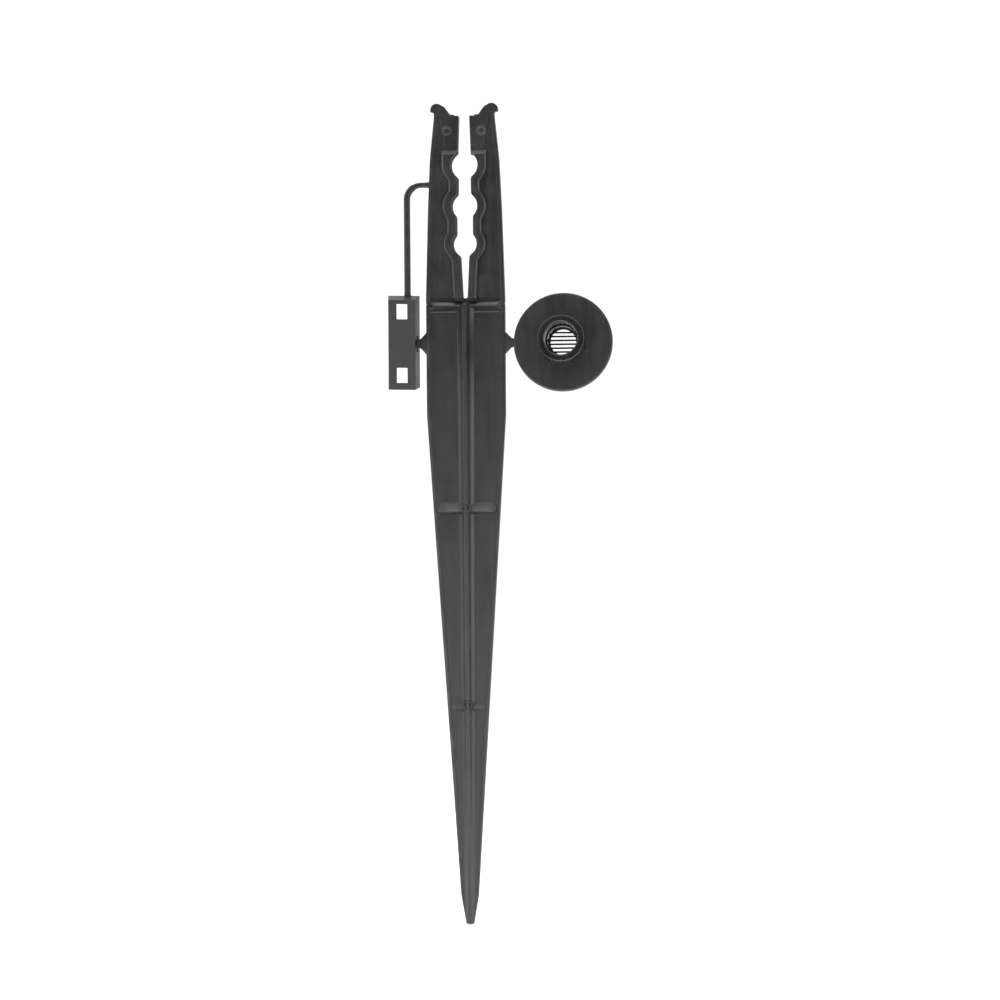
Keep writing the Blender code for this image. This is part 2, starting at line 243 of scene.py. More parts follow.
STAKE_PLASTIC = moulded_plastic("stake_plastic", 0.0085, 0.44, 0.30, 0.42, painted_light_lift=2.6)
CLIP_PLASTIC = moulded_plastic("clip_plastic", 0.0085, 0.44, 0.30, 0.42)
# Painted shade: a darker, duller copy of the clip plastic for the slot's inner walls, standing in for the
# shade inside the slot.
SLOT_SHADE_PLASTIC = moulded_plastic("slot_wall_painted_shade_plastic", 0.008, 0.62, 0.30, 0.10)
# Pin marks: a slightly smoother finish, which is real, and a lighter colour, which is painted sheen.
MARK_SHEEN_PLASTIC = moulded_plastic("pin_mark_painted_sheen_plastic", 0.019, 0.40, 0.20, 0.5)
TETHER_PLASTIC = moulded_plastic("tether_plastic", 0.0075, 0.44, 0.22, 0.42)
CAP_PLASTIC = moulded_plastic("cap_plastic", 0.013, 0.42, 0.30, 0.42)
BORE_PLASTIC = moulded_plastic("bore_plastic", 0.010, 0.16, 0.06, 0.5)


# ---------------------------------------------------------------- mesh tools

def finished(name, body, material, sharp=38.0):
    """An object from a bmesh: normals out, smooth faces, and its hard edges kept."""
    bmesh.ops.recalc_face_normals(body, faces=body.faces)
    mesh = bpy.data.meshes.new(name)
    body.to_mesh(mesh)
    body.free()
    mesh.shade_smooth()
    mesh.set_sharp_from_angle(angle=math.radians(sharp))
    mesh.materials.append(material)
    piece = bpy.data.objects.new(name, mesh)
    bpy.context.scene.collection.objects.link(piece)
    return piece


def add_rings(body, rings, closed=False):
    """Skins rings of points into a bmesh; the ends are capped, or closed runs back to the first ring."""
    rows = [[body.verts.new(point) for point in ring] for ring in rings]
    pairs = list(zip(rows, rows[1:]))
    if closed:
        pairs.append((rows[-1], rows[0]))
    else:
        body.faces.new(rows[0])
        body.faces.new(rows[-1])
    for near, far in pairs:
        for i in range(len(near)):
            j = (i + 1) % len(near)
            body.faces.new((near[i], near[j], far[j], far[i]))


def loft(name, rings, material, closed=False, sharp=38.0):
    body = bmesh.new()
    add_rings(body, rings, closed)
    return finished(name, body, material, sharp)


def baked(piece):
    """Applies a piece's modifiers."""
    graph = bpy.context.evaluated_depsgraph_get()
    mesh = bpy.data.meshes.new_from_object(piece.evaluated_get(graph), depsgraph=graph)
    piece.modifiers.clear()
    old, piece.data = piece.data, mesh
    bpy.data.meshes.remove(old)


def softened(piece, width, segments=3):
    """Rounds a piece's hard edges."""
    bevel = piece.modifiers.new("soft_edges", "BEVEL")
    bevel.width = width
    bevel.segments = segments
    bevel.limit_method = "ANGLE"
    bevel.angle_limit = math.radians(28.0)
    bevel.harden_normals = True
    baked(piece)


def cut(piece, helper):
    """Cuts a helper's shape out of a piece, and removes the helper."""
    modifier = piece.modifiers.new("cut", "BOOLEAN")
    modifier.operation = "DIFFERENCE"
    modifier.object = helper
    baked(piece)
    bpy.data.objects.remove(helper, do_unlink=True)


def plate(name, outline, front, back, material):
    """A flat piece from an outline of (x, z) points between two depths."""
    rings = [[(x, y, z) for x, z in outline] for y in (front, back)]
    return loft(name, rings, material)


def arc(centre, radius, start, end, steps):
    """Points on an arc in the front view, its angles in degrees, anticlockwise from +X."""
    angles = np.radians(np.linspace(start, end, steps + 1))
    return [(centre[0] + radius * math.cos(a), centre[1] + radius * math.sin(a)) for a in angles]


def turned(name, profile, material):
    """A ring turned about the cap's axis from a closed profile of (radius, y) points."""
    rings = []
    for i in range(TURN_STEPS):
        a = 2 * math.pi * i / TURN_STEPS
        rings.append([(CAP_X + r * math.cos(a), y, TAB_Z + r * math.sin(a)) for r, y in profile])
    return loft(name, rings, material, closed=True)


def tilted(piece, turn):
    """Turns a piece about the tabs' own line."""
    pivot = Vector((0, 0, TAB_Z))
    turn_about = Matrix.Translation(pivot) @ Matrix.Rotation(turn, 4, "X") @ Matrix.Translation(-pivot)
    piece.data.transform(turn_about)


def edge_half(z):
    """Half the width of the stake's outline at a height."""
    return float(np.interp(z, EDGE_HEIGHTS, EDGE_HALVES))


def spine(ends, z):
    """The value at a height of something that tapers from the spine's foot to its top."""
    return float(np.interp(z, (POINT_TOP, SPINE_TOP), ends))


# ---------------------------------------------------------------- the stake

def fin_edge(half, web, room):
    """One quarter of a fin's section, from the parting line inwards, as (x, y) with y positive outwards.

    room is how much width the fin has outside the spine; the border narrows with it near the point."""
    share = max(0.08, min(1.0, (room - 0.4 * MM) / (2.2 * MM)))
    border = BORDER * share
    step = BORDER_STEP * share
    soft = min(0.18 * MM, 0.3 * room + 0.04 * MM)
    draft = 0.03 * MM
    points = [(half, 0.02 * MM), (half - draft, web - soft)]
    for turn in (30, 60, 90):
        a = math.radians(turn)
        points.append((half - draft - soft * (1 - math.cos(a)), web - soft + soft * math.sin(a)))
    inside = half - border - soft * 0.5
    points += [
        (inside, web), (inside - step * 0.25, web - step * 0.1),
        (inside - step * 1.1, web - step * 0.9), (inside - step * 1.4, web - step),
    ]
    return points, web - step


def stake_ring(z):
    """The stake's whole section at a height: two fins and a spine on both faces."""
    half = edge_half(z)
    taper = min(1.0, z / POINT_TOP)
    web = WEB * (0.45 + 0.55 * taper)
    foot = min(spine(SPINE_BASE, z), half - 0.12 * MM)
    land = min(spine(SPINE_LAND, z), foot - 0.1 * MM)
    depth = spine(SPINE_DEPTH, z) if z > POINT_TOP else TIP_HALF + (SPINE_DEPTH[0] - TIP_HALF) * taper
    room = half - foot
    fin, floor = fin_edge(half, web, room)
    fillet = min(0.2 * MM, 0.35 * room)
    crest = 0.16 * MM
    knee_x = land + 0.42 * (foot - land)
    knee_y = min(floor + 1.05 * (foot - knee_x), floor + 0.6 * (depth - floor))
    lean = (knee_x - land) / (depth - knee_y)
    quarter = fin + [
        (foot + fillet, floor),
        (foot + fillet * 0.4, floor + fillet * 0.1),
        (foot, floor + fillet * 0.4),
        (knee_x + 0.1 * (foot - knee_x), knee_y - 0.1 * (knee_y - floor)),
        (knee_x - lean * 0.1 * MM, knee_y + 0.1 * MM),
        (land + lean * crest, depth - crest),
        (land - crest * 0.12, depth - crest * 0.3),
        (land - crest * 0.6, depth),
        (land * 0.33, depth),
    ]
    front_right = [(x, -y, z) for x, y in quarter]
    front_left = [(-x, -y, z) for x, y in reversed(quarter)]
    back_left = [(-x, y, z) for x, y in quarter]
    back_right = [(x, y, z) for x, y in reversed(quarter)]
    return front_right + front_left + back_left + back_right


def make_stake():
    step = 2.4 * MM
    count = int((SPINE_TOP - POINT_TOP) / step)
    heights = [0.0, 0.14 * MM, 0.5 * MM, 3.0 * MM, POINT_TOP - 0.5 * MM, POINT_TOP + 0.3 * MM]
    heights += [POINT_TOP + 1.2 * MM + i * step for i in range(count - 1)]
    heights += [SPINE_TOP - 1.2 * MM, SPINE_TOP - 0.25 * MM]
    rings = [stake_ring(z) for z in heights]
    buried, inset, overlap = 0.75 * WEB, 0.97, 0.7 * MM
    hidden_end = []
    for x, y, _ in rings[-1]:
        hidden_end.append((inset * x, math.copysign(min(abs(y), buried), y), SPINE_TOP + overlap))
    rings.append(hidden_end)
    shrink = 0.86
    rings[0] = [(x * shrink, y * shrink, 0.0) for x, y, z in rings[1]]
    body = loft("stake_body", rings, STAKE_PLASTIC, sharp=50.0)
    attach(body, "stake")
    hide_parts("blade", "spike_point", "front_spine", "back_spine")


def make_shoulder():
    """The thick bridge from the spine's end to the jaws' roots, with the slot's round end."""
    low, high = SPINE_TOP - 1.0 * MM, ROOT + 0.15 * MM
    reach, depth = 2.7 * MM, WEB - 0.05 * MM
    outline = [(-reach, low), (reach, low), (reach, high)]
    outline += [(slot_reach(high), high)] + arc((0, ROOT + 0.35 * MM), slot_reach(ROOT) * 0.9, -10, -170, 8)
    outline += [(-slot_reach(high), high), (-reach, high)]
    shoulder = plate("stake_shoulder", outline, -depth, depth, STAKE_PLASTIC)
    softened(shoulder, 0.12 * MM, 2)
    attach(shoulder, "stake")


def rib_section(x, half_length, crest_z, rise, reach, face, floor):
    """A cross rib's wedge section at x: a long sloped top over a steep underside, fading out at its ends."""
    fade = min(1.0, (half_length - abs(x)) / (0.9 * MM) + 0.12)
    root = max(0.0, 1.0 - abs(abs(x) - 2.4 * MM) / (1.6 * MM)) if abs(x) > 2.4 * MM else 1.0
    reach = reach * fade
    top = rise * (0.35 + 0.65 * fade)
    under = (0.45 + 0.5 * root * fade) * MM
    soft = 0.14 * MM * fade
    points = [
        (floor, crest_z + top + 0.25 * MM),
        (floor + reach * 0.06, crest_z + top),
        (floor + reach * 0.93, crest_z + 0.22 * MM * fade),
        (floor + reach, crest_z + 0.05 * MM),
        (floor + reach - soft, crest_z - soft),
        (floor + reach * 0.35, crest_z - under * 0.45),
        (floor + reach * 0.1, crest_z - under * 0.75),
        (floor, crest_z - under),
        (floor - 0.3 * MM, crest_z - under),
        (floor - 0.3 * MM, crest_z + top + 0.25 * MM),
    ]
    return [(x, face * y, z) for y, z in points]


def make_rib(name, side, crest_z, half_length, rise, reach):
    face = -1 if side == "front" else 1
    floor = WEB - BORDER_STEP
    ends = [half_length - d * MM for d in (0.0, 0.1, 0.3, 0.6, 1.0)]
    inner = [d * MM for d in (4.6, 4.0, 3.5, 3.1, 2.8, 2.5, 2.2, 1.2, 0.0)]
    right = ends + [x for x in inner if x < half_length - 1.2 * MM]
    stations = right + [-x for x in reversed(right[:-1])]
    rings = [rib_section(x, half_length, crest_z, rise, reach, face, floor) for x in stations]
    rib = loft(name + "_rib_" + side + "_visual", rings, STAKE_PLASTIC, sharp=42.0)
    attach(rib, "stake")
    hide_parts(name + "_rib_" + side)


def make_upper_rib(side, face):
    """The cross rib under the slot: a lit slope over a steep face, and a low step under it."""
    floor = WEB - BORDER_STEP
    top, crest, under = 154.2 * MM, 153.25 * MM, 152.75 * MM
    half_length = 8.9 * MM
    profile = [
        (floor - 0.3 * MM, top), (floor, top),
        (floor + 0.5 * MM, top - 0.34 * MM), (floor + 1.0 * MM, crest + 0.1 * MM),
        (floor + 1.07 * MM, crest), (floor + 1.05 * MM, crest - 0.1 * MM),
        (floor + 0.85 * MM, under + 0.1 * MM), (floor + 0.3 * MM, under - 0.15 * MM),
        (floor + 0.02 * MM, under - 0.35 * MM), (floor, under - 0.7 * MM),
        (floor + 0.12 * MM, under - 0.95 * MM), (floor + 0.1 * MM, under - 1.15 * MM),
        (floor - 0.03 * MM, under - 1.45 * MM), (floor - 0.3 * MM, under - 1.45 * MM),
    ]
    stations = [half_length - d * MM for d in (0.0, 0.25, 0.6, 1.1, 1.8, 4.0, 6.5)]
    stations += [-x for x in reversed(stations)]
    rings = []
    for x in stations:
        fade = min(1.0, 0.12 + (half_length - abs(x)) / (1.0 * MM))
        ring = []
        for y, z in profile:
            proud = (y - floor) * (fade if y > floor else 1.0)
            ring.append((x, face * (floor + proud), z))
        rings.append(ring)
    rib = loft("upper_rib_" + side + "_visual", rings, STAKE_PLASTIC, sharp=42.0)
    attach(rib, "stake")
    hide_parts("upper_rib_" + side)


def ring_mark(name, centre, body_name):
    """A raised circular witness mark of a mould pin; centre is on the face, which looks along -Y or +Y."""
    radius, width, height = MARK_RADIUS, MARK_WIDTH, MARK_HEIGHT
    x, y, z = centre
    way = -1 if y < 0 else 1
    profile = [
        (radius - width, -0.1 * MM), (radius - width, height * 0.5), (radius - width * 0.7, height),
        (radius - width * 0.3, height), (radius, height * 0.5), (radius, -0.1 * MM),
    ]
    rings = []
    segments = 40
    for i in range(segments):
        a = 2 * math.pi * i / segments
        rings.append([(x + r * math.cos(a), y + way * h, z + r * math.sin(a)) for r, h in profile])
    mark = loft(name, rings, MARK_SHEEN_PLASTIC, closed=True)
    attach(mark, body_name)


def make_boss(name, centre, radius, height):
    """A low round boss with a dimple, where a cross rib meets the spine."""
    x, y, z = centre
    way = -1 if y < 0 else 1
    profile = [
        (radius + 0.25 * MM, -0.6 * MM), (radius + 0.05 * MM, height - 0.16 * MM),
        (radius - 0.06 * MM, height - 0.03 * MM), (radius - 0.2 * MM, height),
        (radius - 0.36 * MM, height - 0.03 * MM), (radius - 0.5 * MM, height - 0.2 * MM),
        (radius * 0.42, height - 0.34 * MM), (radius * 0.2, height - 0.25 * MM),
        (0.02 * MM, height - 0.2 * MM),
    ]
    rings = []
    segments = 36
    for r, h in profile:
        ring = []
        for i in range(segments):
            a = 2 * math.pi * i / segments
            ring.append((x + r * math.cos(a), y + way * h, z + r * math.sin(a)))
        rings.append(ring)
    boss = loft(name, rings, CLIP_PLASTIC)
    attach(boss, "stake")


def make_ribs():
    for side, face in (("front", -1), ("back", 1)):
        for level, crest_z, rise in (("middle", 102.1 * MM, 2.1 * MM), ("lower", 53.35 * MM, 1.35 * MM)):
            reach = 0.62 * (spine(SPINE_DEPTH, crest_z) - WEB)
            half_length = half_size(level + "_rib_front").x
            make_rib(level, side, crest_z, half_length, rise, reach)
            depth = spine(SPINE_DEPTH, crest_z)
            make_boss(level + "_boss_" + side, (0, face * depth, crest_z + 1.0 * MM), 1.2 * MM, 0.12 * MM)
        make_upper_rib(side, face)


# ---------------------------------------------------------------- the clip

def slot_reach(z, margin=0.0):
    """How far the slot, notches included, reaches from the centre line, grown by a margin."""
    reach = float(np.interp(z, SLOT_HEIGHTS, SLOT_HALVES)) + margin
    for centre, radius in NOTCHES:
        rise = z - centre
        if margin and z > NOTCHES[-1][0] == centre:
            rise = 0.0
        if abs(rise) < radius + margin:
            reach = max(reach, math.sqrt((radius + margin) ** 2 - rise**2))
    return reach


def smooth_reach(z, margin):
    """The slot's reach with its cusps eased, as the mould's corners are."""
    spread = (-0.36, -0.18, 0.0, 0.18, 0.36)
    return sum(slot_reach(z + d * MM, margin) for d in spread) / len(spread)


def jaw_heights(low, high, steps):
    return [low + (high - low) * i / steps for i in range(steps + 1)]


def flexing(piece):
    """Bakes a jaw piece's placement into its mesh."""
    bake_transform(piece)


def make_jaw_web(side, way):
    """The flat outer part of a jaw, with the same bordered edge as the stake's fins."""
    rings = []
    low, high = CREVICE
    heights = [SPINE_TOP - 0.5 * MM, low - 0.05 * MM, low, high - 0.1 * MM, high]
    heights += jaw_heights(high + 0.5 * MM, 200.4 * MM, 40)
    for z in heights:
        buried = 0.96 if z < SPINE_TOP else 1.0
        half = edge_half(z) * (0.5 + 0.5 * buried)
        fin, floor = fin_edge(half, WEB * buried, 3.0 * MM)
        inner = min(slot_reach(min(z, RIM_TOP)) + 0.9 * MM, half - 1.6 * MM)
        sunk = CREVICE_DEPTH if low <= z < high else 0.0
        front = [(x, -y, z) for x, y in fin]
        front += [(fin[-1][0] - 0.12 * MM, -floor + sunk, z), (inner, -floor + sunk, z)]
        back = [(x, -y, z) for x, y, z in reversed(front)]
        rings.append([(way * x, y, z) for x, y, z in front + back])
    web = loft(side + "_jaw_web", rings, CLIP_PLASTIC, sharp=50.0)
    flexing(web)
    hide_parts(side + "_jaw")


def grip_ring(way, y, inner_margin, outer_margin, low, high):
    heights = jaw_heights(low, high, 150)
    face = [(way * (smooth_reach(z, 0.0) + inner_margin), y, z) for z in heights]
    back = [(way * smooth_reach(z, outer_margin), y, z) for z in reversed(heights)]
    return face + back


def make_grip(side, way):
    """The thick wavy rim along the notches, rounded on its outer side, with a ledge sloping up to the tip."""
    low = CREVICE[1]
    ledge = RIM_TOP - 0.4 * MM
    levels = (
        (RIM_HALF, 0.1 * MM, RIM_CREST, ledge),
        (RIM_HALF - 0.06 * MM, 0.0, RIM_CREST + 0.24 * MM, ledge + 0.06 * MM),
        (RIM_HALF - 0.22 * MM, 0.0, RIM_CREST + 0.44 * MM, ledge + 0.2 * MM),
        (RIM_HALF - 0.46 * MM, 0.0, RIM_CREST + 0.6 * MM, ledge + 0.38 * MM),
        (RIM_HALF - 0.78 * MM, 0.0, RIM_FOOT - 0.1 * MM, ledge + 0.62 * MM),
        (1.25 * MM, 0.0, RIM_FOOT - 0.03 * MM, ledge + 0.98 * MM),
        (0.8 * MM, 0.0, RIM_FOOT, ledge + 1.0 * MM),
    )
    front = [grip_ring(way, -y, inner, outer, low, high) for y, inner, outer, high in levels]
    back = [grip_ring(way, y, inner, outer, low, high) for y, inner, outer, high in reversed(levels)]
    grip = loft(side + "_grip_rim", front + back, CLIP_PLASTIC, sharp=32.0)
    # The slot's inner walls take the painted-shade copy of the plastic.
    grip.data.materials.append(SLOT_SHADE_PLASTIC)
    for face in grip.data.polygons:
        spot = face.center
        inward = -way * face.normal.x
        if inward > 0.5 and abs(spot.y) < RIM_HALF - 0.03 * MM and spot.z < ledge + 0.6 * MM:
            face.material_index = 1
    flexing(grip)
    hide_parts(side + "_grip")


def tip_inner(foot):
    """The tip's edge from the slot over the shelf and up the brow of the hook."""
    at_shelf = slot_reach(SHELF)
    soft = 0.35 * MM
    edge = [(slot_reach(RIM_TOP + 0.3 * MM) - 0.02 * MM, foot)]
    edge += arc((at_shelf + soft, SHELF - soft), soft, 180, 90, 4)
    edge += [(3.0 * MM, SHELF), (3.35 * MM, SHELF + 0.14 * MM), (3.75 * MM, SHELF + 0.58 * MM)]
    edge += [(4.35 * MM, 201.5 * MM), (5.02 * MM, 202.4 * MM)]
    return edge


def tip_outline(way):
    """The jaw's tip with its outward hook."""
    foot = RIM_TOP - 0.5 * MM
    outline = tip_inner(foot)
    outline += arc((6.85 * MM, TOP - 1.57 * MM), 1.55 * MM, 122, 8, 9)
    outline += arc((8.13 * MM, 201.3 * MM), 0.28 * MM, 10, -110, 4)
    outline += arc((7.86 * MM, 200.62 * MM), 0.36 * MM, 95, 178, 4)
    outline += [(edge_half(z) - 0.02 * MM, z) for z in (199.6 * MM, 195.0 * MM, foot)]
    return [(way * x, z) for x, z in outline]


def pad_outline(way):
    """The raised level on the tip, from the slot to a line that leans out to the hook."""
    foot = RIM_TOP - 0.4 * MM
    outline = tip_inner(foot)
    outline += arc((6.85 * MM, TOP - 1.57 * MM), 1.55 * MM, 122, 86, 3)
    outline += [(6.45 * MM, 200.6 * MM), (6.1 * MM, 199.3 * MM), (5.45 * MM, 196.6 * MM)]
    outline += [(5.15 * MM, 193.5 * MM), (5.2 * MM, foot)]
    return [(way * x, z) for x, z in outline]


def make_tip(side, way):
    tip = plate(side + "_tip", tip_outline(way), -0.98 * MM, 0.98 * MM, CLIP_PLASTIC)
    softened(tip, 0.22 * MM, 4)
    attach(tip, side + "_jaw")
    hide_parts(side + "_hook")
    pad = plate(side + "_tip_pad", pad_outline(way), -TIP_FACE, TIP_FACE, CLIP_PLASTIC)
    softened(pad, 0.16 * MM, 3)
    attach(pad, side + "_jaw")
    for face, word in ((-1, "front"), (1, "back")):
        spot = (way * 4.3 * MM, face * TIP_FACE, 196.4 * MM)
        ring_mark(side + "_pin_mark_" + word, spot, side + "_jaw")


# ---------------------------------------------------------------- the tether and the bar

def strap_ring(place, heading, wide, deep):
    """A rounded oblong section across the strap; heading is its direction in the front view."""
    across = Vector((heading.z, 0, -heading.x)).normalized()
    depth = Vector((0, 1, 0))
    soft = min(wide, deep) * 0.62
    ring = []
    for corner in range(4):
        sx = (1, -1, -1, 1)[corner]
        sy = (1, 1, -1, -1)[corner]
        for step in range(4):
            a = QUARTER * corner + QUARTER * step / 3
            point = place + across * (sx * (wide - soft) + soft * math.cos(a))
            ring.append(point + depth * (sy * (deep - soft) + soft * math.sin(a)))
    return ring


def strap_path():
    """The strap's centre line, from inside the jaw's edge round the bend and down to the bar."""
    x, z = STRAP_X, STRAP_ROOT.z
    centre = (x + STRAP_BEND, z - STRAP_BEND)
    points = [(-8.3 * MM, z), (-8.7 * MM, z), (-9.1 * MM, z), (-9.5 * MM, z), (-9.9 * MM, z), (-10.4 * MM, z)]
    points += arc(centre, STRAP_BEND, 90, 180, 22)
    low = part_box("strap_lower")[0].z - 2.3 * MM
    start = points[-1][1]
    count = 70
    points += [(x, start + (low - start) * i / count) for i in range(1, count + 1)]
    return [Vector((px, 0, pz)) for px, pz in points]


def on_strap(z):
    return (STRAP_X, 0, z)


def make_strap():
    """Four lengths, one for each place where the tether bends. They meet where it stays stiff."""
    path = strap_path()
    fold, twist, tilt = (joint_at(name) for name in ("strap_fold", "strap_twist", "bar_tilt"))
    joins = [(STRAP_ROOT.z - STRAP_BEND + fold.z) / 2, (fold.z + twist.z) / 2, (twist.z + tilt.z) / 2]
    spans = (
        ("root_bend", "left_jaw", "strap_upper", (-9.1 * MM, 0, STRAP_ROOT.z), (-10.7 * MM, 0, STRAP_ROOT.z)),
        ("fold", "strap_upper", "strap_middle", on_strap(fold.z + 1.5 * MM), on_strap(fold.z - 1.5 * MM)),
        ("twist", "strap_middle", "strap_lower", on_strap(twist.z + 3.0 * MM), on_strap(twist.z - 3.0 * MM)),
        ("tilt", "strap_lower", "locking_bar", on_strap(tilt.z + 1.2 * MM), on_strap(tilt.z - 1.2 * MM)),
    )
    bounds = [math.inf] + joins + [-math.inf]
    stands_for = {
        "root_bend": ["strap_upper"], "fold": ["strap_middle"], "twist": ["strap_lower"], "tilt": [],
    }
    for number, (word, parent, child, start, end) in enumerate(spans):
        top, bottom = bounds[number], bounds[number + 1]
        picked = [i for i, p in enumerate(path) if bottom <= p.z <= top]
        first, last = max(picked[0] - 1, 0), min(picked[-1] + 1, len(path) - 1)
        if word == "root_bend":
            first = 0
        points = [path[i].copy() for i in range(first, last + 1)]
        if math.isfinite(top):
            points[0].z = top
        if math.isfinite(bottom):
            points[-1].z = bottom
        rings = []
        for i, point in enumerate(points):
            ahead = points[min(i + 1, len(points) - 1)] - points[max(i - 1, 0)]
            flare = max(0.0, 1 - abs(point.x + 8.6 * MM) / (1.3 * MM))
            foot = max(0.0, 1 - (point.z - path[-1].z) / (1.6 * MM)) if word == "tilt" else 0.0
            level = 0.14 * MM if point.x > STRAP_X + 1.8 * MM else 0.0
            wide = STRAP_WIDE - level + 0.3 * MM * flare**2 + 0.42 * MM * foot**1.5
            rings.append(strap_ring(point, ahead, wide, STRAP_DEEP))
        strap = loft("strap_" + word, rings, TETHER_PLASTIC, sharp=60.0)
        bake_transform(strap)
        if stands_for[word]:
            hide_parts(*stands_for[word])


def bar_box(name, front, back, tall, inset, lean=0.0):
    """A drafted box in the bar's own upright place; its top end slopes back by lean."""
    rings = []
    for y in (front, back):
        share = (y + BAR_DEPTH) / (2 * BAR_DEPTH)
        half = BAR_FRONT + (BAR_BACK - BAR_FRONT) * share - inset
        high = tall + lean * share
        rings.append([
            (BAR_X - half, y, BAR_Z - tall - lean), (BAR_X + half, y, BAR_Z - tall - lean),
            (BAR_X + half, y, BAR_Z + high), (BAR_X - half, y, BAR_Z + high),
        ])
    return loft(name, rings, TETHER_PLASTIC)


def window_box(name, low, high):
    """A window's cutter, a little wider at the bar's front."""
    rings = []
    for y, grow in ((-BAR_DEPTH - MM, 0.1 * MM), (-BAR_DEPTH + 2 * MM, -0.04 * MM)):
        half = WINDOW_HALF + grow
        rings.append([
            (BAR_X - half, y, BAR_Z + low - grow), (BAR_X + half, y, BAR_Z + low - grow),
            (BAR_X + half, y, BAR_Z + high + grow), (BAR_X - half, y, BAR_Z + high + grow),
        ])
    return loft(name, rings, TETHER_PLASTIC)


def make_bar():
    bar = bar_box("bar_shell", -BAR_DEPTH, BAR_DEPTH, BAR_TALL - BAR_TOP_SLOPE, 0.0, BAR_TOP_SLOPE)
    cut(bar, bar_box("cavity", BAR_WALL - BAR_DEPTH, BAR_DEPTH + MM, BAR_TALL - BAR_WALL, BAR_WALL))
    low, high = WINDOW_RISE
    cut(bar, window_box("upper_window", low, high))
    cut(bar, window_box("lower_window", -high, -low))
    deep, tall = TAB_SLOT
    corners = ((-deep, -tall), (deep, -tall), (deep, tall), (-deep, tall))
    inner_end = BAR_X + BAR_FRONT - 2 * MM
    rings = [[(x, y, TAB_Z + rise) for y, rise in corners] for x in (inner_end, inner_end + 4 * MM)]
    cut(bar, loft("tab_slot", rings, TETHER_PLASTIC))
    softened(bar, 0.16 * MM, 3)
    pivot = Vector((BAR_X, 0, TAB_Z))
    sway = Matrix.Rotation(BAR_SWAY, 4, "Y")
    bar.data.transform(Matrix.Translation(pivot) @ sway @ Matrix.Translation(-pivot))
    tilted(bar, BAR_TURN)
    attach(bar, "locking_bar")
    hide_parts("locking_bar")


def tab_ring(x, tall, deep):
    """A rounded oblong section across a tab."""
    soft = min(tall, deep) * 0.45
    ring = []
    for corner in range(4):
        sz = (1, -1, -1, 1)[corner]
        sy = (1, 1, -1, -1)[corner]
        for step in range(4):
            a = QUARTER * corner + QUARTER * step / 3
            y = sy * (deep - soft) + soft * math.sin(a)
            z = TAB_Z + sz * (tall - soft) + soft * math.cos(a)
            ring.append((x, y, z))
    return ring


def make_tab(name, way, neck_x, end_x, node):
    """A snap-off tab: a flat triangle that narrows to a scored neck."""
    root_x = TAB_ROOT_X
    stations = (
        (root_x - 0.9 * MM, 3.9, 0.55), (root_x - 0.1 * MM, 3.25, 0.55), (root_x + 0.25 * MM, 2.85, 0.55),
        (neck_x - 0.35 * MM, 1.45, 0.52), (neck_x - 0.1 * MM, 1.22, 0.5), (neck_x + 0.2 * MM, 1.12, 0.34),
        (neck_x + 0.5 * MM, 1.1, 0.42), (end_x, 1.12, 0.46),
    )
    rings = [tab_ring(way * x, tall * MM, deep * MM) for x, tall, deep in stations]
    tab = loft(name, rings, STAKE_PLASTIC, sharp=34.0)
    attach(tab, "stake")
    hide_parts(node)


# ---------------------------------------------------------------- the bug cap

def capped(piece):
    """Leans a piece as the cap hangs, and fixes it to the cap."""
    tilted(piece, CAP_TURN)
    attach(piece, "bug_cap")


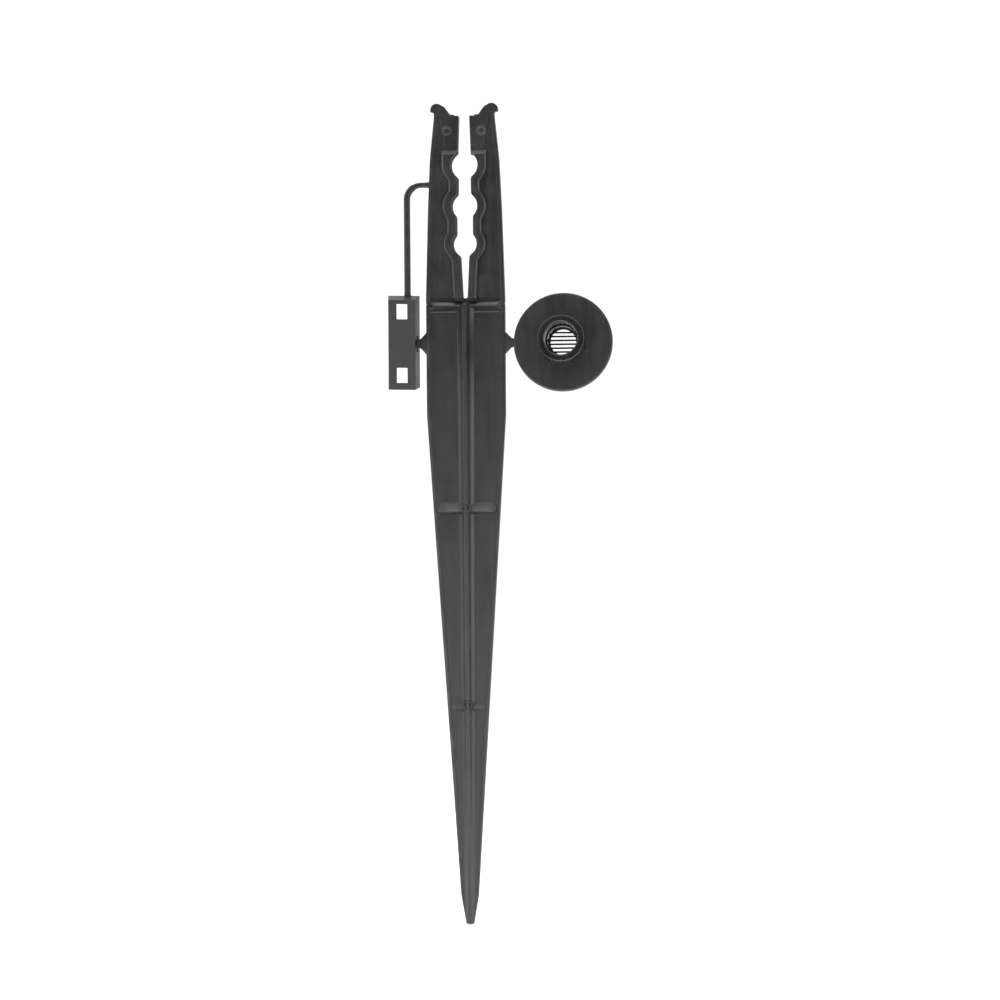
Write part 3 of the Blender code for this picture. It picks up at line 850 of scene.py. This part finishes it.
def make_cap():
    front, back = -0.6 * MM, 1.0 * MM
    bore, wall, end = 3.2 * MM, 5.8 * MM, -7.45 * MM
    lip, throat, step = 4.08 * MM, 3.62 * MM, 3.4 * MM
    r = CAP_RADIUS + 0.1 * MM
    flange = turned("cap_flange_disc", [
        (throat - 0.03 * MM, front + 0.05 * MM), (wall - 0.3 * MM, front + 0.05 * MM),
        (r - 2.4 * MM, front + 0.02 * MM), (r - 0.5 * MM, front),
        (r - 0.25 * MM, front + 0.04 * MM), (r - 0.07 * MM, front + 0.18 * MM),
        (r, front + 0.5 * MM), (r, back - 0.5 * MM), (r - 0.08 * MM, back - 0.2 * MM),
        (r - 0.3 * MM, back - 0.04 * MM), (r - 0.6 * MM, back),
        (4.9 * MM, back), (4.7 * MM, back - 0.08 * MM), (4.6 * MM, back - 0.3 * MM),
        (throat - 0.03 * MM, back - 0.9 * MM),
    ], CAP_PLASTIC)
    capped(flange)
    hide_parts("cap_flange")
    socket = turned("cap_socket_tube", [
        (throat, front + 0.3 * MM), (throat, end + step + 0.3 * MM),
        (throat + 0.06 * MM, end + step + 0.16 * MM),
        (lip - 0.14 * MM, end + step), (lip - 0.08 * MM, end + step - 0.16 * MM), (lip, end + 0.3 * MM),
        (lip + 0.06 * MM, end + 0.12 * MM), (lip + 0.2 * MM, end + 0.02 * MM), (lip + 0.4 * MM, end),
        (wall - 0.36 * MM, end), (wall - 0.14 * MM, end + 0.06 * MM),
        (wall - 0.03 * MM, end + 0.24 * MM), (wall, end + 0.5 * MM), (wall, front - 0.35 * MM),
        (wall + 0.08 * MM, front - 0.12 * MM), (wall + 0.3 * MM, front + 0.12 * MM),
    ], BORE_PLASTIC)
    capped(socket)
    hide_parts("cap_socket")
    body = bmesh.new()
    pitch, bars = 0.965 * MM, 6
    thick_front, thick_back = back - 0.85 * MM, back - 0.1 * MM
    half_bar = 0.2 * MM
    for number in range(bars):
        rise = (number - (bars - 1) / 2) * pitch
        reach = math.sqrt((bore + 0.35 * MM) ** 2 - rise**2)
        rings = []
        for x in (-reach, -reach * 0.5, 0.0, reach * 0.5, reach):
            soft = 0.09 * MM
            section = []
            for sy, sz, start in ((1, 1, 0), (-1, 1, 90), (-1, -1, 180), (1, -1, 270)):
                for turn in (0, 45, 90):
                    a = math.radians(start + turn)
                    y = (thick_back - soft if sy > 0 else thick_front + soft) + soft * math.cos(a)
                    z = TAB_Z + rise + sz * (half_bar - soft) + soft * math.sin(a)
                    section.append((CAP_X + x, y, z))
            rings.append(section)
        add_rings(body, rings)
    grille = finished("cap_grille_bars", body, CAP_PLASTIC)
    capped(grille)
    rim = turned("cap_grille_rim", [
        (bore, thick_front), (bore + 0.06 * MM, thick_front - 0.06 * MM),
        (bore + 0.9 * MM, thick_front - 0.06 * MM),
        (4.45 * MM, back - 0.3 * MM), (4.4 * MM, back - 0.06 * MM), (bore + 0.12 * MM, back - 0.06 * MM),
        (bore, back - 0.14 * MM),
    ], CAP_PLASTIC)
    capped(rim)
    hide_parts("cap_grille")


# ---------------------------------------------------------------- floor, light and camera

def matt(name, colour):
    material = bpy.data.materials.new(name)
    material.use_nodes = True
    shader = material.node_tree.nodes["Principled BSDF"]
    shader.inputs["Base Color"].default_value = (colour, colour, colour, 1)
    shader.inputs["Roughness"].default_value = 0.9
    return material


def sheet(name, points, material):
    body = bmesh.new()
    body.faces.new([body.verts.new(point) for point in points])
    piece = finished(name, body, material)
    return piece


def place_light(data, place, aim):
    light = bpy.data.objects.new(data.name, data)
    light.location = place
    light.rotation_mode = "QUATERNION"
    light.rotation_quaternion = (Vector(aim) - Vector(place)).to_track_quat("-Z", "Y")
    bpy.context.scene.collection.objects.link(light)


def area_light(name, place, aim, size, power):
    data = bpy.data.lights.new(name, "AREA")
    data.shape = "RECTANGLE"
    data.size, data.size_y = size
    data.energy = power
    place_light(data, place, aim)


def spot_light(name, place, aim, angle, power):
    data = bpy.data.lights.new(name, "SPOT")
    data.energy = power
    data.spot_size = math.radians(angle)
    data.spot_blend = 1.0
    data.shadow_soft_size = 0.1
    place_light(data, place, aim)


def make_studio():
    scene = bpy.context.scene
    world = bpy.data.worlds.new("white_tent")
    world.use_nodes = True
    background = world.node_tree.nodes["Background"]
    background.inputs["Color"].default_value = (1, 1, 1, 1)
    background.inputs["Strength"].default_value = 1.08
    scene.world = world
    span, floor_z = 3.0, -0.3 * MM
    sheet("studio_floor", [(-span, -span, floor_z), (span, -span, floor_z), (span, span, floor_z),
                           (-span, span, floor_z)], matt("pale_floor", 0.97))
    card = sheet("dark_card", [(-0.55, -1.25, -0.1), (0.75, -1.25, -0.1), (0.75, -1.25, 0.85),
                               (-0.55, -1.25, 0.85)], matt("card_grey", 0.03))
    mat = sheet("dark_mat", [(-0.8, -1.25, 0), (0.8, -1.25, 0), (0.8, -0.66, 0), (-0.8, -0.66, 0)],
                matt("mat_grey", 0.03))
    # Only reflections see these two: they keep the gloss on the flats dark
    for dark in (card, mat):
        dark.visible_camera = False
        dark.visible_diffuse = False
        dark.visible_shadow = False
    area_light("key_left", (-0.75, -0.28, 0.30), (0, 0, 0.11), (0.3, 0.5), 1.6)
    area_light("fill_right", (0.8, -0.2, 0.30), (0, 0, 0.11), (0.25, 0.5), 1.6)
    area_light("side_left", (-0.85, 0.06, 0.20), (0, 0, 0.11), (0.3, 0.5), 2.4)
    area_light("side_right", (0.85, -0.10, 0.20), (0, 0, 0.11), (0.3, 0.5), 1.6)
    area_light("top", (0.0, -0.10, 0.95), (0, 0, 0.12), (0.6, 0.4), 6.0)
    spot_light("floor_glow", (0.0, -0.38, 0.55), (0, -0.30, 0), 44.0, 50.0)


def make_camera():
    data = bpy.data.cameras.new("camera")
    distance, width = 1.0, 247.5 * MM
    sensor = 36.0
    data.sensor_width = sensor
    data.lens = sensor * distance / width
    camera = bpy.data.objects.new("camera", data)
    azimuth, roll = math.radians(6.0), math.radians(-0.44)
    target = Vector((8.15 * MM, 0, 104.9 * MM))
    back = Vector((math.sin(azimuth), -math.cos(azimuth), 0))
    camera.location = target + back * distance
    camera.rotation_mode = "QUATERNION"
    look = (-back).to_track_quat("-Z", "Y")
    camera.rotation_quaternion = look @ Matrix.Rotation(roll, 3, "Z").to_quaternion()
    data.clip_start, data.clip_end = 0.01, 20.0
    bpy.context.scene.collection.objects.link(camera)
    bpy.context.scene.camera = camera
    bpy.context.scene.view_settings.view_transform = "Standard"


# ---------------------------------------------------------------- build

make_stake()
make_shoulder()
make_ribs()
for side, way in (("left", -1), ("right", 1)):
    make_jaw_web(side, way)
    make_grip(side, way)
    make_tip(side, way)
make_strap()
make_bar()
make_tab("bar_snap_tab", -1, 11.35 * MM, 12.06 * MM, "bar_tab")
make_tab("cap_snap_tab", 1, 11.45 * MM, 12.15 * MM, "cap_tab")
make_cap()
make_studio()
make_camera()
